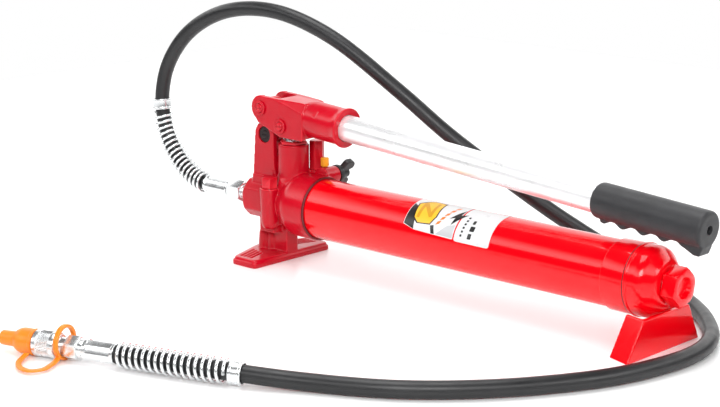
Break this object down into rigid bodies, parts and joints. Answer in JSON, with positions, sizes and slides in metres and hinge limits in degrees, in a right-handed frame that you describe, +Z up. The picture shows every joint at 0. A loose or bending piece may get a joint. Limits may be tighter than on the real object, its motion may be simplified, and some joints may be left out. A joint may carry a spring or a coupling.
{
  "type": "hydraulic hand pump",
  "caption": "Hand-operated hydraulic pump with an oil reservoir tube, a lever with a plug-in handle, and a high-pressure hose that ends in a capped quick coupler.",
  "frame": {"origin": "on the floor, under the middle of the pump without its hose", "axes": "+X from the pump head to the end cap, +Z up, -Y the side with the outlet valve plug"},
  "size_m": [0.6966, 0.5455, 0.2535],
  "materials": {
    "paint": "gloss",
    "zinc": "bright",
    "steel": "machined",
    "brass": "machined",
    "black_rubber": "satin",
    "grip_rubber": "satin",
    "black_plastic": "satin",
    "orange_rubber": "satin",
    "yellow_plastic": "satin",
    "label_film": "gloss"
  },
  "bodies": {
    "pump_body": {"cap_strap": "orange_rubber", "coupler_body": "zinc", "end_cap": "paint", "end_collar_coupler": "zinc", "end_collar_head": "zinc", "ferrule_coupler": "zinc", "ferrule_head": "zinc", "gland_nut": "paint", "guard_spring_coupler": "zinc", "guard_spring_head": "zinc", "head_casting": "paint", "hose": "black_rubber", "hose_nut": "zinc", "inlet_ball": "steel", "label_graphic": "label_film", "label_plain": "label_film", "outlet_ball": "steel", "outlet_nipple": "zinc", "outlet_plug": "paint", "outlet_spring": "steel", "plug_seal": "steel", "plunger_seal": "black_rubber", "post_pin": "steel", "rear_collar": "paint", "rear_foot": "paint", "rear_plug": "paint", "reservoir_tube": "paint", "safety_valve_body": "paint", "suction_strainer": "brass", "suction_tube": "steel", "tube_seal_front": "black_rubber", "tube_seal_rear": "black_rubber", "vent_screw": "yellow_plastic"},
    "plunger": {"plunger": "steel"},
    "lever": {"lever_socket": "paint", "lever_pin": "paint", "plunger_pin": "paint", "lever_pin_ring_near": "paint", "lever_pin_ring_far": "paint", "plunger_pin_ring_near": "paint", "plunger_pin_ring_far": "paint"},
    "link": {"link": "paint"},
    "handle": {"handle_tube": "zinc", "grip": "grip_rubber"},
    "release_valve": {"release_knob": "black_plastic", "release_spindle": "steel"},
    "coupler_sleeve": {"coupler_sleeve": "zinc"},
    "dust_cap": {"dust_cap": "orange_rubber"}
  },
  "joints": [
    {"name": "plunger_stroke", "type": "slide", "parent": "pump_body", "child": "plunger", "axis": [0, 0, 1], "range_m": [0, 0.0295]},
    {"name": "lever_pivot", "type": "hinge", "parent": "plunger", "child": "lever", "pos_m": [-0.2083, 0, 0.1395], "axis": [0, -1, 0], "range_deg": [0, 55]},
    {"name": "link_swing", "type": "hinge", "parent": "lever", "child": "link", "pos_m": [-0.2363, 0, 0.1545], "axis": [0, -1, 0], "range_deg": [-55, 0]},
    {"name": "handle_pull", "type": "slide", "parent": "lever", "child": "handle", "axis": [0.9971, 0, -0.0762], "range_m": [0, 0.038]},
    {"name": "release_turn", "type": "hinge", "parent": "pump_body", "child": "release_valve", "pos_m": [-0.1783, 0.02, 0.088], "axis": [0, 1, 0], "range_deg": [0, 270]},
    {"name": "sleeve_spin", "type": "hinge", "parent": "pump_body", "child": "coupler_sleeve", "pos_m": [-0.13497, -0.36831, 0.0118], "axis": [-0.9511, -0.309, 0], "continuous": true},
    {"name": "cap_pull", "type": "slide", "parent": "pump_body", "child": "dust_cap", "axis": [-0.9511, -0.309, 0], "range_m": [0, 0.03]}
  ],
  "couplings": [
    {"joint": "plunger_stroke", "follows": "lever_pivot", "m_per_rad": 0.0306},
    {"joint": "link_swing", "follows": "lever_pivot", "ratio": -1}
  ]
}
